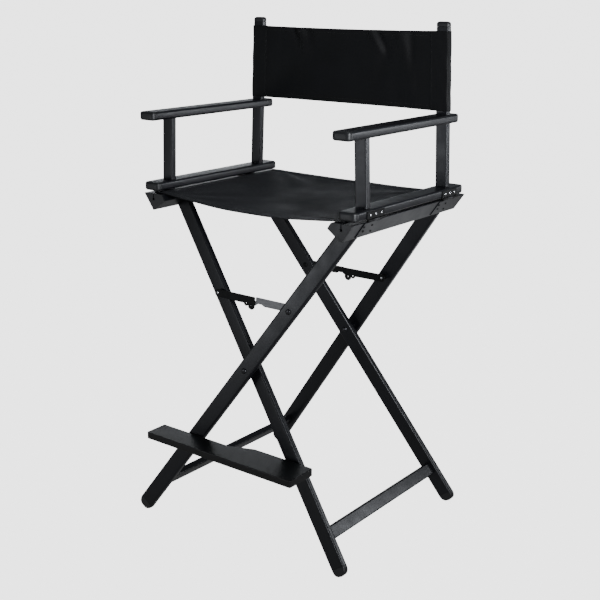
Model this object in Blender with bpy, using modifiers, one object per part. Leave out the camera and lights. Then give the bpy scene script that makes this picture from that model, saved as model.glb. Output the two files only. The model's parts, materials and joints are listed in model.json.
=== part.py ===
"""Tall folding director chair: aluminium scissor frame, canvas seat and back, arms, braces, footrest.

Metres, +Z up, floor at z = 0. The sitter faces -Y, so the front is at -Y. The origin is the middle
of the footprint. "Left" (-X) and "right" (+X) in names are as seen from the front.
Frame A is the pair of legs that runs up to the right, frame B the pair that runs up to the left.
"""
import math
from collections import namedtuple

import bmesh
import bpy
from mathutils import Matrix, Vector

for old in list(bpy.data.objects):
    bpy.data.objects.remove(old, do_unlink=True)

# Rectangular tube: width and height are along the section's own X and Y.
Tube = namedtuple("Tube", "width height radius wall")
# Moulded end cap: nose length, nose rounding across the width and across the height, spigot length.
Cap = namedtuple("Cap", "length plan_radius edge_radius spigot")

# ---------------------------------------------------------------- driving dimensions
GAP = 0.0003                    # air between neighbouring pieces
BOLT_CLEARANCE = 0.00006        # added to the radius of a bolt or rivet hole
PIN_CLEARANCE = 0.00008         # added to the radius of a pin hole
OVERLAP = 0.0001                # how far a joined tab is drawn inside its plate's faces
MID_Y = 0.0172                  # middle plane of the frame, front to back

# scissor frame; distances "along" are from the scissor axis along a leg
ALPHA = math.radians(35.62)     # leg angle from vertical, chair open
SIN, COS = math.sin(ALPHA), math.cos(ALPHA)
PIVOT_Z = 0.4068                # height of the scissor axis
SPLAY = 0.1026                  # how far a leg runs forward or back per metre of leg
LEG = Tube(width=0.0384, height=0.0160, radius=0.0045, wall=0.0016)
LEG_PITCH = 0.0290              # front face to front face of two crossing legs
LEG_OUTER = 0.2162              # outermost leg face from the middle plane, at the pivot
LEG_TOP = 0.4229                # along, to the underside of the seat rail
LEG_FOOT = 0.4953               # along, to the end of the foot plug
FOOT_CAP = Cap(length=0.0200, plan_radius=0.0165, edge_radius=0.0040, spigot=0.012)
PIVOT_R = 0.0040                # scissor bolt
BRACE_AT = 0.1890               # along, to the brace rivet
RIVET_R = 0.0025
FRONT_A_Y = -LEG_OUTER + LEG.height / 2     # leg middles at the pivot, from the middle plane
FRONT_B_Y = FRONT_A_Y + LEG_PITCH
BRACE_X, BRACE_Z = SIN * BRACE_AT, PIVOT_Z + COS * BRACE_AT

# seat rails (three-sided extrusion, point down)
RAIL_TOP = 0.7770
SLOT_X = 0.2620                 # slit in the rail's top
CORD_Z, CORD_R = 0.7648, 0.0026

# arm frames
ARM = Tube(width=0.0450, height=0.0190, radius=0.0048, wall=0.0015)
ARM_CAP = Cap(length=0.0125, plan_radius=0.0095, edge_radius=0.0045, spigot=0.010)
ARM_TOP = 0.9620
ARM_Y0, ARM_Y1 = -0.2330, 0.1920
LOW_TOP = 0.8015
LOW_X = 0.2720
LOW_Y0, LOW_Y1 = -0.2180, 0.2120
POST = Tube(width=0.0300, height=0.0150, radius=0.0035, wall=0.0014)
POST_CAP = Cap(length=0.0110, plan_radius=0.0060, edge_radius=0.0040, spigot=0.009)
POST_Y = 0.1580
POST_TOP = 1.1600
LEAN = 0.0375                   # posts lean in, metres per metre
LEAN_Z = 0.7700                 # height at which a post is at LOW_X

# hinge axis between the lower arm rails and the seat rails
HINGE_X, HINGE_Z = 0.2974, 0.7810

# canvas
CLOTH = 0.0016
SEAT_Y0, SEAT_Y1 = -0.2120, 0.2160

# mesh steps
CORNER_STEPS = 3                # segments of a rounded corner
DOME_STEPS = 3                  # segments of a rivet head's profile

# rotations that lay local Z along Y
ALONG_Y = (math.pi / 2, 0, 0)               # local Z runs to the front, -Y
ALONG_Y_BACK = (math.pi / 2, 0, math.pi)    # local Z runs to the back, +Y

# ---------------------------------------------------------------- collections and materials
part_collection = bpy.data.collections.new("director_chair")
cutter_collection = bpy.data.collections.new("cutters")
bpy.context.scene.collection.children.link(part_collection)
bpy.context.scene.collection.children.link(cutter_collection)


def material(name, colour, roughness, metallic):
    made = bpy.data.materials.new(name)
    made.use_nodes = True
    shader = made.node_tree.nodes["Principled BSDF"]
    shader.inputs["Base Color"].default_value = (*colour, 1.0)
    shader.inputs["Roughness"].default_value = roughness
    shader.inputs["Metallic"].default_value = metallic
    return made


ALLOY = material(
    "black_powder_coat", colour=(0.018, 0.018, 0.021), roughness=0.38, metallic=0.55)
PLASTIC = material("black_plastic", colour=(0.014, 0.014, 0.015), roughness=0.30, metallic=0.0)
STEEL = material("black_steel", colour=(0.010, 0.010, 0.011), roughness=0.35, metallic=0.8)
GREY_STEEL = material("grey_steel", colour=(0.30, 0.30, 0.31), roughness=0.35, metallic=0.9)
BOARD = material("footrest_board", colour=(0.020, 0.020, 0.021), roughness=0.62, metallic=0.0)
CANVAS = material("black_canvas", colour=(0.012, 0.012, 0.013), roughness=0.85, metallic=0.0)


# ---------------------------------------------------------------- objects and joints
def attach(obj, joint):
    """Parents obj to a joint so that obj's own location stays in world coordinates."""
    if joint:
        obj.parent = joint
        obj.matrix_parent_inverse = Matrix.Translation(joint["at"]).inverted()


def empty(name, location, joint=None):
    made = bpy.data.objects.new(name, None)
    made.empty_display_size = 0.03
    part_collection.objects.link(made)
    made.location = location
    attach(made, joint)
    made["at"] = location
    return made


def shade(mesh):
    """Smooth faces with sharp edges where the surface turns by more than 35 degrees."""
    for face in mesh.polygons:
        face.use_smooth = True
    mesh.set_sharp_from_angle(angle=math.radians(35))


def add(name, mesh, mat, body=None, location=(0, 0, 0), rotation=(0, 0, 0)):
    """Makes a piece of the chair; body is the joint it moves with, None if it is fixed."""
    mesh.name = name
    made = bpy.data.objects.new(name, mesh)
    part_collection.objects.link(made)
    made.location = location
    made.rotation_euler = rotation
    if mat:
        mesh.materials.append(mat)
    shade(mesh)
    attach(made, body)
    return made


# The right arm is fixed; the fold starts from it and runs to the left arm.
RIGHT_ARM = None
FRAME_A = empty("axis_fold", (HINGE_X, MID_Y, HINGE_Z))
FRAME_B = empty("axis_scissor", (0.0, MID_Y, PIVOT_Z), FRAME_A)
LEFT_ARM = empty("axis_left_arm", (-HINGE_X, MID_Y, HINGE_Z), FRAME_B)
SIDES = ((1, "right", RIGHT_ARM, FRAME_A), (-1, "left", LEFT_ARM, FRAME_B))


# ---------------------------------------------------------------- outlines
def arc(centre_x, centre_y, radius, start, end, steps):
    """Points of an arc between two angles in degrees, both ends included."""
    points = []
    for i in range(steps + 1):
        angle = math.radians(start + (end - start) * i / steps)
        points.append((centre_x + radius * math.cos(angle), centre_y + radius * math.sin(angle)))
    return points


def rounded_rect(width, height, radius):
    """Counter-clockwise outline, starting at the lower end of the upper right corner."""
    points = []
    for sign_x, sign_y, start in ((1, 1, 0), (-1, 1, 90), (-1, -1, 180), (1, -1, 270)):
        centre_x, centre_y = sign_x * (width / 2 - radius), sign_y * (height / 2 - radius)
        points += arc(centre_x, centre_y, radius, start, start + 90, CORNER_STEPS)
    return points


def tube_loops(tube):
    """Outer and inner outline of a tube."""
    inner = rounded_rect(
        tube.width - 2 * tube.wall, tube.height - 2 * tube.wall, tube.radius - tube.wall)
    return [rounded_rect(tube.width, tube.height, tube.radius), inner]


def post_opening():
    """Outline of a hole that clears a post."""
    return rounded_rect(POST.width + 2 * GAP, POST.height + 2 * GAP, POST.radius)


def round_corners(points, radii):
    """Replaces each corner of a polygon by an arc of its radius."""
    outline = []
    for i, (corner, radius) in enumerate(zip(points, radii)):
        corner = Vector(corner)
        before = (Vector(points[i - 1]) - corner).normalized()
        after = (Vector(points[(i + 1) % len(points)]) - corner).normalized()
        half = math.acos(before.dot(after)) / 2
        centre = corner + (before + after).normalized() * (radius / math.sin(half))
        start = corner + before * (radius / math.tan(half)) - centre
        end = corner + after * (radius / math.tan(half)) - centre
        start_angle = math.atan2(start.y, start.x)
        sweep = math.remainder(math.atan2(end.y, end.x) - start_angle, math.tau)
        for k in range(CORNER_STEPS + 1):
            angle = start_angle + sweep * k / CORNER_STEPS
            outline.append(
                (centre.x + radius * math.cos(angle), centre.y + radius * math.sin(angle)))
    return outline


def dome(radius, height, base, up=1):
    """Profile of a rivet head that stands on height base, from its rim to its top."""
    points = []
    for i in range(DOME_STEPS + 1):
        angle = math.radians(90 * i / DOME_STEPS)
        points.append((radius * math.cos(angle), base + up * height * math.sin(angle)))
    return points


# ---------------------------------------------------------------- meshes
def from_bmesh(bm):
    bmesh.ops.recalc_face_normals(bm, faces=bm.faces)
    mesh = bpy.data.meshes.new("mesh")
    bm.to_mesh(mesh)
    bm.free()
    return mesh


def shear_verts(bm, shear):
    """Shifts vertices in X and Y in proportion to their height."""
    for v in bm.verts:
        v.co.x += shear[0] * v.co.z
        v.co.y += shear[1] * v.co.z


def prism_mesh(loops, z0, z1, shear=(0, 0)):
    """A straight extrusion of flat outlines; an outline inside the first is a hollow."""
    curve = bpy.data.curves.new("outline", "CURVE")
    curve.dimensions = "2D"
    curve.fill_mode = "BOTH"
    curve.extrude = (z1 - z0) / 2
    for loop in loops:
        spline = curve.splines.new("POLY")
        spline.points.add(len(loop) - 1)
        for point, (x, y) in zip(spline.points, loop):
            point.co = (x, y, 0, 1)
        spline.use_cyclic_u = True
    guide = bpy.data.objects.new("outline", curve)
    bpy.context.scene.collection.objects.link(guide)
    bpy.context.view_layer.update()
    evaluated = guide.evaluated_get(bpy.context.evaluated_depsgraph_get())
    mesh = bpy.data.meshes.new_from_object(evaluated)
    bpy.data.objects.remove(guide, do_unlink=True)
    bm = bmesh.new()
    bm.from_mesh(mesh)
    bmesh.ops.remove_doubles(bm, verts=bm.verts, dist=0.000005)
    bmesh.ops.dissolve_limit(bm, angle_limit=math.radians(0.5), verts=bm.verts, edges=bm.edges)
    bmesh.ops.translate(bm, verts=bm.verts, vec=(0, 0, (z0 + z1) / 2))
    shear_verts(bm, shear)
    bmesh.ops.recalc_face_normals(bm, faces=bm.faces)
    bm.to_mesh(mesh)
    bm.free()
    return mesh


def loft_mesh(sections, shear):
    """Skin over equal-count outlines [(z, [(x, y), ...]), ...], closed at both ends."""
    bm = bmesh.new()
    rings = [[bm.verts.new((x, y, z)) for x, y in outline] for z, outline in sections]
    for low, high in zip(rings, rings[1:]):
        for i in range(len(low)):
            j = (i + 1) % len(low)
            bm.faces.new((low[i], low[j], high[j], high[i]))
    bm.faces.new(list(reversed(rings[0])))
    bm.faces.new(rings[-1])
    shear_verts(bm, shear)
    return from_bmesh(bm)


def round_over(radius, depth):
    """How far a rounded edge has drawn in at a depth below its top."""
    if depth >= radius:
        return 0.0
    return radius - math.sqrt(radius ** 2 - (radius - depth) ** 2)


def end_cap_mesh(tube, cap, shear=(0, 0)):
    """End cap on +Z of a tube's end at z = 0: a spigot inside the tube and a rounded nose."""
    taper, taper_length = 0.0012, 0.002     # lead-in at the spigot's end
    min_flat = 0.0005                       # half of the flat kept between two corners
    width = tube.width - 2 * tube.wall - 2 * GAP
    height = tube.height - 2 * tube.wall - 2 * GAP
    radius = max(tube.radius - tube.wall, 0.001)
    sections = [
        (-cap.spigot, rounded_rect(width - taper, height - taper, radius)),
        (-cap.spigot + taper_length, rounded_rect(width, height, radius)),
        (GAP, rounded_rect(width, height, radius)),
        (GAP, rounded_rect(tube.width, tube.height, tube.radius)),
    ]
    for step in (1.0, 0.70, 0.45, 0.25, 0.10, 0.0):
        depth = cap.plan_radius * step
        width = tube.width - 2 * round_over(cap.plan_radius, depth)
        height = tube.height - 2 * round_over(cap.edge_radius, depth)
        radius = min(tube.radius, height / 2 - min_flat, width / 2 - min_flat)
        sections.append((cap.length - depth, rounded_rect(width, height, radius)))
    return loft_mesh(sections, shear)


def cylinder_mesh(radius, length, steps):
    bm = bmesh.new()
    bmesh.ops.create_cone(
        bm, cap_ends=True, segments=steps, radius1=radius, radius2=radius, depth=length)
    return from_bmesh(bm)


# ---------------------------------------------------------------- turned pieces
def turned(name, profile, steps, mat, body, location, rotation=ALONG_Y):
    """A piece turned about its local Z; profile is (radius, height) from its top to its bottom."""
    bm = bmesh.new()
    verts = [bm.verts.new((radius, 0, z)) for radius, z in profile]
    for upper, lower in zip(verts, verts[1:]):
        bm.edges.new((upper, lower))
    made = add(name, from_bmesh(bm), mat, body, location, rotation)
    screw = made.modifiers.new("turn", "SCREW")
    screw.axis = "Z"
    screw.steps = steps
    screw.render_steps = steps
    screw.use_merge_vertices = True
    screw.merge_threshold = 0.000002
    screw.use_smooth_shade = True
    return made


def rod(name, radius, front, back, steps, mat, body, location):
    """A plain round rod along Y; front and back are its reaches from its location."""
    profile = [(0, front), (radius, front), (radius, -back), (0, -back)]
    return turned(name, profile, steps, mat, body, location)


# ---------------------------------------------------------------- helpers to cut or join
def helper(mesh, location, rotation=(0, 0, 0)):
    made = bpy.data.objects.new("helper", mesh)
    cutter_collection.objects.link(made)
    made.location = location
    made.rotation_euler = rotation
    made.hide_render = True
    made.display_type = "WIRE"
    return made


def cylinder(radius, y0, y1, x, z, steps):
    """Helper cylinder along Y."""
    return helper(cylinder_mesh(radius, y1 - y0, steps), (x, (y0 + y1) / 2, z), ALONG_Y)


def box(x0, x1, y0, y1, z0, z1):
    """Helper box; x0 and x1 may come in either order."""
    x0, x1 = sorted((x0, x1))
    bm = bmesh.new()
    bmesh.ops.create_cube(bm, size=1.0)
    bmesh.ops.scale(bm, vec=(x1 - x0, y1 - y0, z1 - z0), verts=bm.verts)
    return helper(from_bmesh(bm), ((x0 + x1) / 2, (y0 + y1) / 2, (z0 + z1) / 2))


def mesh_about(obj, origin):
    """Removes obj and returns its mesh, placed as in the world but measured from origin."""
    bpy.context.view_layer.update()
    mesh = obj.data
    mesh.transform(obj.matrix_world.copy())
    mesh.transform(Matrix.Translation(-origin))
    bpy.data.objects.remove(obj, do_unlink=True)
    return mesh


def boolean(obj, other, operation):
    """Bakes obj's modifiers and the boolean with other into obj's mesh, and removes other."""
    modifier = obj.modifiers.new("boolean", "BOOLEAN")
    modifier.operation = operation
    modifier.object = other
    bpy.context.view_layer.update()
    evaluated = obj.evaluated_get(bpy.context.evaluated_depsgraph_get())
    mesh = bpy.data.meshes.new_from_object(evaluated)
    obj.modifiers.clear()
    mat = obj.data.materials[0]
    obj.data = mesh
    mesh.materials.clear()
    mesh.materials.append(mat)
    bm = bmesh.new()
    bm.from_mesh(mesh)
    for face in bm.faces:
        face.material_index = 0
    bmesh.ops.remove_doubles(bm, verts=bm.verts, dist=0.000002)
    bmesh.ops.dissolve_degenerate(bm, edges=bm.edges, dist=0.000002)
    bm.to_mesh(mesh)
    bm.free()
    shade(mesh)
    bpy.data.objects.remove(other, do_unlink=True)


def cut(obj, other):
    boolean(obj, other, "DIFFERENCE")


def join(obj, other):
    boolean(obj, other, "UNION")


# ---------------------------------------------------------------- arm frames
def post_x(side, z):
    """Middle of a post at height z."""
    return side * (LOW_X - LEAN * (z - LEAN_Z))


def arm_rail(label, tag, x, z, y0, y1, body):
    """A tube along Y with a cap at each end; y0 and y1 are the cap noses from the middle plane."""
    front, back = MID_Y + y0 + ARM_CAP.length, MID_Y + y1 - ARM_CAP.length
    half = (back - front) / 2
    mesh = prism_mesh(tube_loops(ARM), -half, half)
    rail = add(f"{label}_{tag}", mesh, ALLOY, body, (x, (front + back) / 2, z), ALONG_Y)
    for end, y, rotation in (("front", front, ALONG_Y), ("rear", back, ALONG_Y_BACK)):
        cap = end_cap_mesh(ARM, ARM_CAP)
        add(f"{label}_cap_{end}_{tag}", cap, PLASTIC, body, (x, y, z), rotation)
    return rail


def arm_frame(side, tag, body):
    """Armrest, lower rail, and two leaning posts; the rear post passes through the armrest."""
    lean = (-side * LEAN, 0)
    arm_z = ARM_TOP - ARM.height / 2
    arm_x = post_x(side, arm_z)
    armrest = arm_rail("armrest", tag, arm_x, arm_z, ARM_Y0, ARM_Y1, body)
    slot = prism_mesh([post_opening()], -0.03, 0.03, lean)
    cut(armrest, helper(slot, (arm_x, MID_Y + POST_Y, arm_z)))
    arm_rail("lower_rail", tag, side * LOW_X, LOW_TOP - ARM.height / 2, LOW_Y0, LOW_Y1, body)

    bottom, top = LOW_TOP + GAP, POST_TOP - POST_CAP.length
    posts = (("front_post", -POST_Y, ARM_TOP - ARM.height - GAP), ("rear_post", POST_Y, top))
    for label, y, end in posts:
        mesh = prism_mesh(tube_loops(POST), 0, end - bottom, lean)
        add(f"{label}_{tag}", mesh, ALLOY, body, (post_x(side, bottom), MID_Y + y, bottom))
    cap = end_cap_mesh(POST, POST_CAP, lean)
    add(f"post_cap_{tag}", cap, PLASTIC, body, (post_x(side, top), MID_Y + POST_Y, top))


for side, tag, arm, frame in SIDES:
    arm_frame(side, tag, arm)


# ---------------------------------------------------------------- seat rails
APEX_X, APEX_Z = 0.2632, 0.7385
RAIL_IN = 0.0437                # width of the face the leg butts against
RAIL_Y0, RAIL_Y1 = -0.2207, 0.2267
RAIL_RADII = (0.0022, 0.0010, 0.0012, 0.0018)   # apex, top outer, top inner, inner corner
RAIL_CAP = 0.0045               # thickness of an end cap with its gap
SLOT_W = 0.0028
CORD_HOLE = 0.0034              # radius of the channel under the slit
CORD_INSET = 0.0020             # cord ends inside the seat's edges
RAIL_PLUG = (-0.008, 0.001)     # end cap's plug, from the cap's inner face; 1 mm is in the cap

# (u, v) as in rail_point
RAIL_VOID = (
    (0.0021, 0.0021), (0.0021, 0.0415), (0.0092, 0.0365), (0.0092, 0.0140),
    (0.0270, 0.0140), (0.0270, 0.0250), (0.0416, 0.0148), (0.0416, 0.0021),
)
PLUG_OUTLINE = (
    (0.0028, 0.0028), (0.0028, 0.0280), (0.0085, 0.0280),
    (0.0085, 0.0133), (0.0400, 0.0133), (0.0400, 0.0028),
)


def rail_point(side, u, v):
    """A point of the rail's section, from the apex: u along the face the leg butts on, v along
    the outer face."""
    return (side * (APEX_X - COS * u + SIN * v), APEX_Z + SIN * u + COS * v)


def rail_outline(side):
    """Three-sided section with a round channel and a slit in its top for the seat's edge cord."""
    outer_v = (RAIL_TOP - APEX_Z) / COS
    inner_v = (RAIL_TOP - APEX_Z - SIN * RAIL_IN) / COS
    corners = [rail_point(1, u, v) for u, v in
               ((0, 0), (0, outer_v), (RAIL_IN, inner_v), (RAIL_IN, 0))]
    rounded = round_corners(corners, RAIL_RADII)
    slit = math.degrees(math.asin(SLOT_W / 2 / CORD_HOLE))     # half the slit's opening angle
    channel = [(SLOT_X + SLOT_W / 2, RAIL_TOP)]
    channel += arc(SLOT_X, CORD_Z, CORD_HOLE, 90 - slit, slit - 270, 12)
    channel += [(SLOT_X - SLOT_W / 2, RAIL_TOP)]
    outline = []
    for i, point in enumerate(rounded):
        outline.append(point)
        following = rounded[(i + 1) % len(rounded)]
        on_top = abs(point[1] - RAIL_TOP) < 1e-6 and abs(following[1] - RAIL_TOP) < 1e-6
        if on_top and point[0] > SLOT_X > following[0]:
            outline.extend(channel)
    return [(side * x, z) for x, z in outline]


def seat_rail(side, tag, body):
    front, back = MID_Y + RAIL_Y0 + RAIL_CAP, MID_Y + RAIL_Y1 - RAIL_CAP
    half = (back - front) / 2
    void = [rail_point(side, u, v) for u, v in RAIL_VOID]
    mesh = prism_mesh([rail_outline(side), void], -half, half)
    add(f"seat_rail_{tag}", mesh, ALLOY, body, (0, (front + back) / 2, 0), ALONG_Y)
    # the rear caps are turned half round, so their outlines are mirrored
    ends = (("front", front - GAP, ALONG_Y, side), ("rear", back + GAP, ALONG_Y_BACK, -side))
    for end, y, rotation, drawn_side in ends:
        mesh = prism_mesh([rail_outline(drawn_side)], 0, RAIL_CAP - GAP)
        cap = add(f"seat_rail_cap_{end}_{tag}", mesh, PLASTIC, body, (0, y, 0), rotation)
        plug = [rail_point(drawn_side, u, v) for u, v in PLUG_OUTLINE]
        join(cap, helper(prism_mesh([plug], *RAIL_PLUG), (0, y, 0), rotation))
    rod(f"seat_edge_cord_{tag}", CORD_R, -SEAT_Y0 - CORD_INSET, SEAT_Y1 - CORD_INSET, 16,
        PLASTIC, body, (side * SLOT_X, MID_Y, CORD_Z))


for side, tag, arm, frame in SIDES:
    seat_rail(side, tag, frame)


# ---------------------------------------------------------------- legs
def leg_splay(y_mid):
    """Shift in Y per metre up a leg: every leg runs outwards on its way down."""
    return -math.copysign(SPLAY, y_mid)


def leg(tag, lean, y_mid, body):
    """A leg tube about the scissor axis and its foot plug, cut level with the floor.

    lean +1 runs up to the right; y_mid is the leg's middle at the pivot, from the middle plane.
    """
    splay = leg_splay(y_mid)
    y = MID_Y + y_mid
    location, rotation = (0, y, PIVOT_Z), (0, lean * ALPHA, 0)
    bottom = -(LEG_FOOT - FOOT_CAP.length)
    tube = prism_mesh(tube_loops(LEG), bottom, LEG_TOP - GAP, (0, splay))
    made = add(f"leg_{tag}", tube, ALLOY, body, location, rotation)
    cut(made, cylinder(PIVOT_R + BOLT_CLEARANCE, y - 0.03, y + 0.03, 0, PIVOT_Z, 24))
    cut(made, cylinder(RIVET_R + BOLT_CLEARANCE, y - 0.05, y + 0.05, lean * BRACE_X, BRACE_Z, 16))

    # the cap is turned nose down, then sheared and placed with the leg
    plug = end_cap_mesh(LEG, FOOT_CAP)
    turn = Matrix.Rotation(math.pi, 4, "Y")
    shear = Matrix(((1, 0, 0, 0), (0, 1, splay, 0), (0, 0, 1, 0), (0, 0, 0, 1)))
    plug.transform(Matrix.Translation((0, splay * bottom, bottom)) @ shear @ turn)
    foot = add(f"foot_plug_{tag}", plug, PLASTIC, body, location, rotation)
    foot_x = -lean * SIN * LEG_FOOT
    cut(foot, box(foot_x - 0.06, foot_x + 0.06, y - 0.15, y + 0.15, -0.05, 0.0))
    return made


leg("front_a", 1, FRONT_A_Y, FRAME_A)
front_leg_b = leg("front_b", -1, FRONT_B_Y, FRAME_B)
leg("rear_b", -1, -FRONT_B_Y, FRAME_B)
leg("rear_a", 1, -FRONT_A_Y, FRAME_A)

# ---------------------------------------------------------------- lower crossbars
BAR = Tube(width=0.0165, height=0.0295, radius=0.0030, wall=0.0015)    # height is along the legs
BAR_AT = 0.4040                 # scissor axis down to the crossbar, along the leg


def crossbar(name, lean, leg_y, body):
    """Flat tube along Y between the legs of one frame; leg_y is the leg's distance from the
    middle plane."""
    reach = leg_y - LEG.height / 2 + SPLAY * BAR_AT - GAP
    mesh = prism_mesh(tube_loops(BAR), -reach, reach)
    # both ends are cut to the legs' splay: a point further down the leg lies further out
    for v in mesh.vertices:
        v.co.z -= math.copysign(1, v.co.z) * SPLAY * v.co.y
    location = (-lean * SIN * BAR_AT, MID_Y, PIVOT_Z - COS * BAR_AT)
    # local X across the leg, local Y up the leg, local Z to the front
    add(name, mesh, ALLOY, body, location, (math.pi / 2, lean * ALPHA, 0))


crossbar("crossbar_a", 1, -FRONT_A_Y, FRAME_A)
crossbar("crossbar_b", -1, -FRONT_B_Y, FRAME_B)

# ---------------------------------------------------------------- scissor pivots
BOLT_HEAD_R, BOLT_HEAD_H = 0.0066, 0.0026
BOLT_STANDOFF = 0.0010          # heads off the leg faces
SPACER_R = 0.0088
SPACER_STANDOFF = 0.0009        # spacer ends off the leg faces, besides the gap


def scissor_pivot(tag, front_leg_y):
    """Bolt through two crossing legs and the spacer between them; front_leg_y is the middle of
    the leg nearer the front."""
    mid = MID_Y + front_leg_y + LEG_PITCH / 2
    at = (0, mid, PIVOT_Z)
    reach = LEG_PITCH / 2 + LEG.height / 2 + BOLT_STANDOFF
    profile = list(reversed(dome(BOLT_HEAD_R, BOLT_HEAD_H, reach)))
    profile += [(PIVOT_R, reach), (PIVOT_R, -reach)]
    profile += dome(BOLT_HEAD_R, BOLT_HEAD_H, -reach, up=-1)
    turned(f"scissor_bolt_{tag}", profile, 24, GREY_STEEL, FRAME_A, at)
    length = LEG_PITCH - LEG.height - 2 * (SPACER_STANDOFF + GAP)
    mesh = cylinder_mesh(SPACER_R, length, 24)
    spacer = add(f"scissor_spacer_{tag}", mesh, PLASTIC, FRAME_A, at, ALONG_Y)
    cut(spacer, cylinder(PIVOT_R + BOLT_CLEARANCE, mid - 0.02, mid + 0.02, 0, PIVOT_Z, 24))


scissor_pivot("front", FRONT_A_Y)
scissor_pivot("rear", -FRONT_B_Y)

# ---------------------------------------------------------------- butt hinges
HINGE_R, HINGE_PIN = 0.0028, 0.0014     # knuckle and pin radius
HINGE_LEN, HINGE_Y = 0.0620, 0.1470
HALF_KNUCKLE = HINGE_LEN / 6            # half the length of the middle knuckle
KNUCKLE_GAP = 0.0002                    # from each third's end to the knuckle
LEAF_T = 0.0015
LEAF_FACE = LOW_X + ARM.width / 2 + GAP # inner face of the upper leaf
UPPER_LEAF_Z = (0.7822, 0.7985)
UPPER_TAB_TOP = 0.7830
SCREW_R, SCREW_H, SCREW_PITCH, SCREW_Z = 0.0027, 0.0012, 0.0200, 0.7912
SCREW_OUT = 0.0003                      # screw head's middle off the leaf
LOWER_LEAF_V = (0.0045, 0.0462)         # extent along the rail's outer face, from the apex
LOWER_TAB_V = (0.0440, 0.0542)
LOWER_TAB_INSET = 0.0004                # from each third's end to the tab
RIVET_HEAD_R, RIVET_HEAD_H = 0.0022, 0.0014
RIVET_OUT = 0.0002                      # rivet head's middle off the leaf
RIVET_SPREAD = 0.0250
# lower leaf's rivets: Y from the hinge's middle in RIVET_SPREAD, v along the rail's outer face
LEAF_RIVETS = ((-1, 0.0350), (0.15, 0.0350), (-0.75, 0.0225), (0.55, 0.0160))


def upper_leaf(side, mid, tag, body):
    """Upright leaf on the arm's lower rail with the two end knuckles."""
    y0, y1 = mid - HINGE_LEN / 2, mid + HINGE_LEN / 2
    axis_x = side * HINGE_X
    at = Vector((axis_x, mid, HINGE_Z))
    plate = box(side * LEAF_FACE, side * (LEAF_FACE + LEAF_T), y0, y1, *UPPER_LEAF_Z)
    leaf = add(f"hinge_upper_leaf_{tag}", mesh_about(plate, at), STEEL, body, at)
    middle = HALF_KNUCKLE + KNUCKLE_GAP
    for start, end in ((y0, mid - middle), (mid + middle, y1)):
        join(leaf, box(
            side * (LEAF_FACE + OVERLAP), side * (LEAF_FACE + LEAF_T - OVERLAP),
            start + OVERLAP, end - OVERLAP, HINGE_Z, UPPER_TAB_TOP))
        join(leaf, cylinder(HINGE_R, start, end, axis_x, HINGE_Z, 16))
    # room for the middle knuckle
    relief = HALF_KNUCKLE + 0.0001
    cut(leaf, cylinder(HINGE_R + GAP, mid - relief, mid + relief, axis_x, HINGE_Z, 16))
    cut(leaf, cylinder(HINGE_PIN + PIN_CLEARANCE, y0 - 0.01, y1 + 0.01, axis_x, HINGE_Z, 16))
    for k in (-1, 0, 1):
        place = (side * (LEAF_FACE + LEAF_T + SCREW_OUT), mid + k * SCREW_PITCH, SCREW_Z)
        join(leaf, helper(cylinder_mesh(SCREW_R, SCREW_H, 12), place, (0, math.pi / 2, 0)))


def leaf_outline(side, v0, v1, inset=0):
    """Plate section on the seat rail's outer face, between two distances from the apex."""
    inner, outer = -GAP - inset, -GAP - LEAF_T + inset
    corners = ((inner, v0), (outer, v0), (outer, v1), (inner, v1))
    return [rail_point(side, u, v) for u, v in corners]


def lower_leaf(side, mid, tag, body):
    """Sloping leaf on the seat rail's outer face with the middle knuckle."""
    axis_x = side * HINGE_X
    at = Vector((axis_x, mid, HINGE_Z))
    mesh = prism_mesh([leaf_outline(side, *LOWER_LEAF_V)], -HINGE_LEN / 2, HINGE_LEN / 2)
    plate = helper(mesh, (0, mid, 0), ALONG_Y)
    leaf = add(f"hinge_lower_leaf_{tag}", mesh_about(plate, at), STEEL, body, at)
    half_tab = HALF_KNUCKLE - LOWER_TAB_INSET
    tab = prism_mesh([leaf_outline(side, *LOWER_TAB_V, OVERLAP)], -half_tab, half_tab)
    join(leaf, helper(tab, (0, mid, 0), ALONG_Y))
    half = HALF_KNUCKLE - KNUCKLE_GAP
    join(leaf, cylinder(HINGE_R, mid - half, mid + half, axis_x, HINGE_Z, 16))
    reach = HINGE_LEN / 2 + 0.01
    cut(leaf, cylinder(
        HINGE_PIN + PIN_CLEARANCE, mid - reach, mid + reach, axis_x, HINGE_Z, 16))
    for k, v in LEAF_RIVETS:
        x, z = rail_point(side, -GAP - LEAF_T - RIVET_OUT, v)
        head = cylinder_mesh(RIVET_HEAD_R, RIVET_HEAD_H, 10)
        tilt = (0, math.pi / 2 + side * ALPHA, 0)
        join(leaf, helper(head, (x, mid + k * RIVET_SPREAD, z), tilt))


for side, side_tag, arm, frame in SIDES:
    for end, y in (("front", -HINGE_Y), ("rear", HINGE_Y)):
        tag, mid = f"{end}_{side_tag}", MID_Y + y
        upper_leaf(side, mid, tag, arm)
        lower_leaf(side, mid, tag, frame)
        rod(f"hinge_pin_{tag}", HINGE_PIN, HINGE_LEN / 2, HINGE_LEN / 2, 16, STEEL, arm,
            (side * HINGE_X, mid, HINGE_Z))

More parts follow.
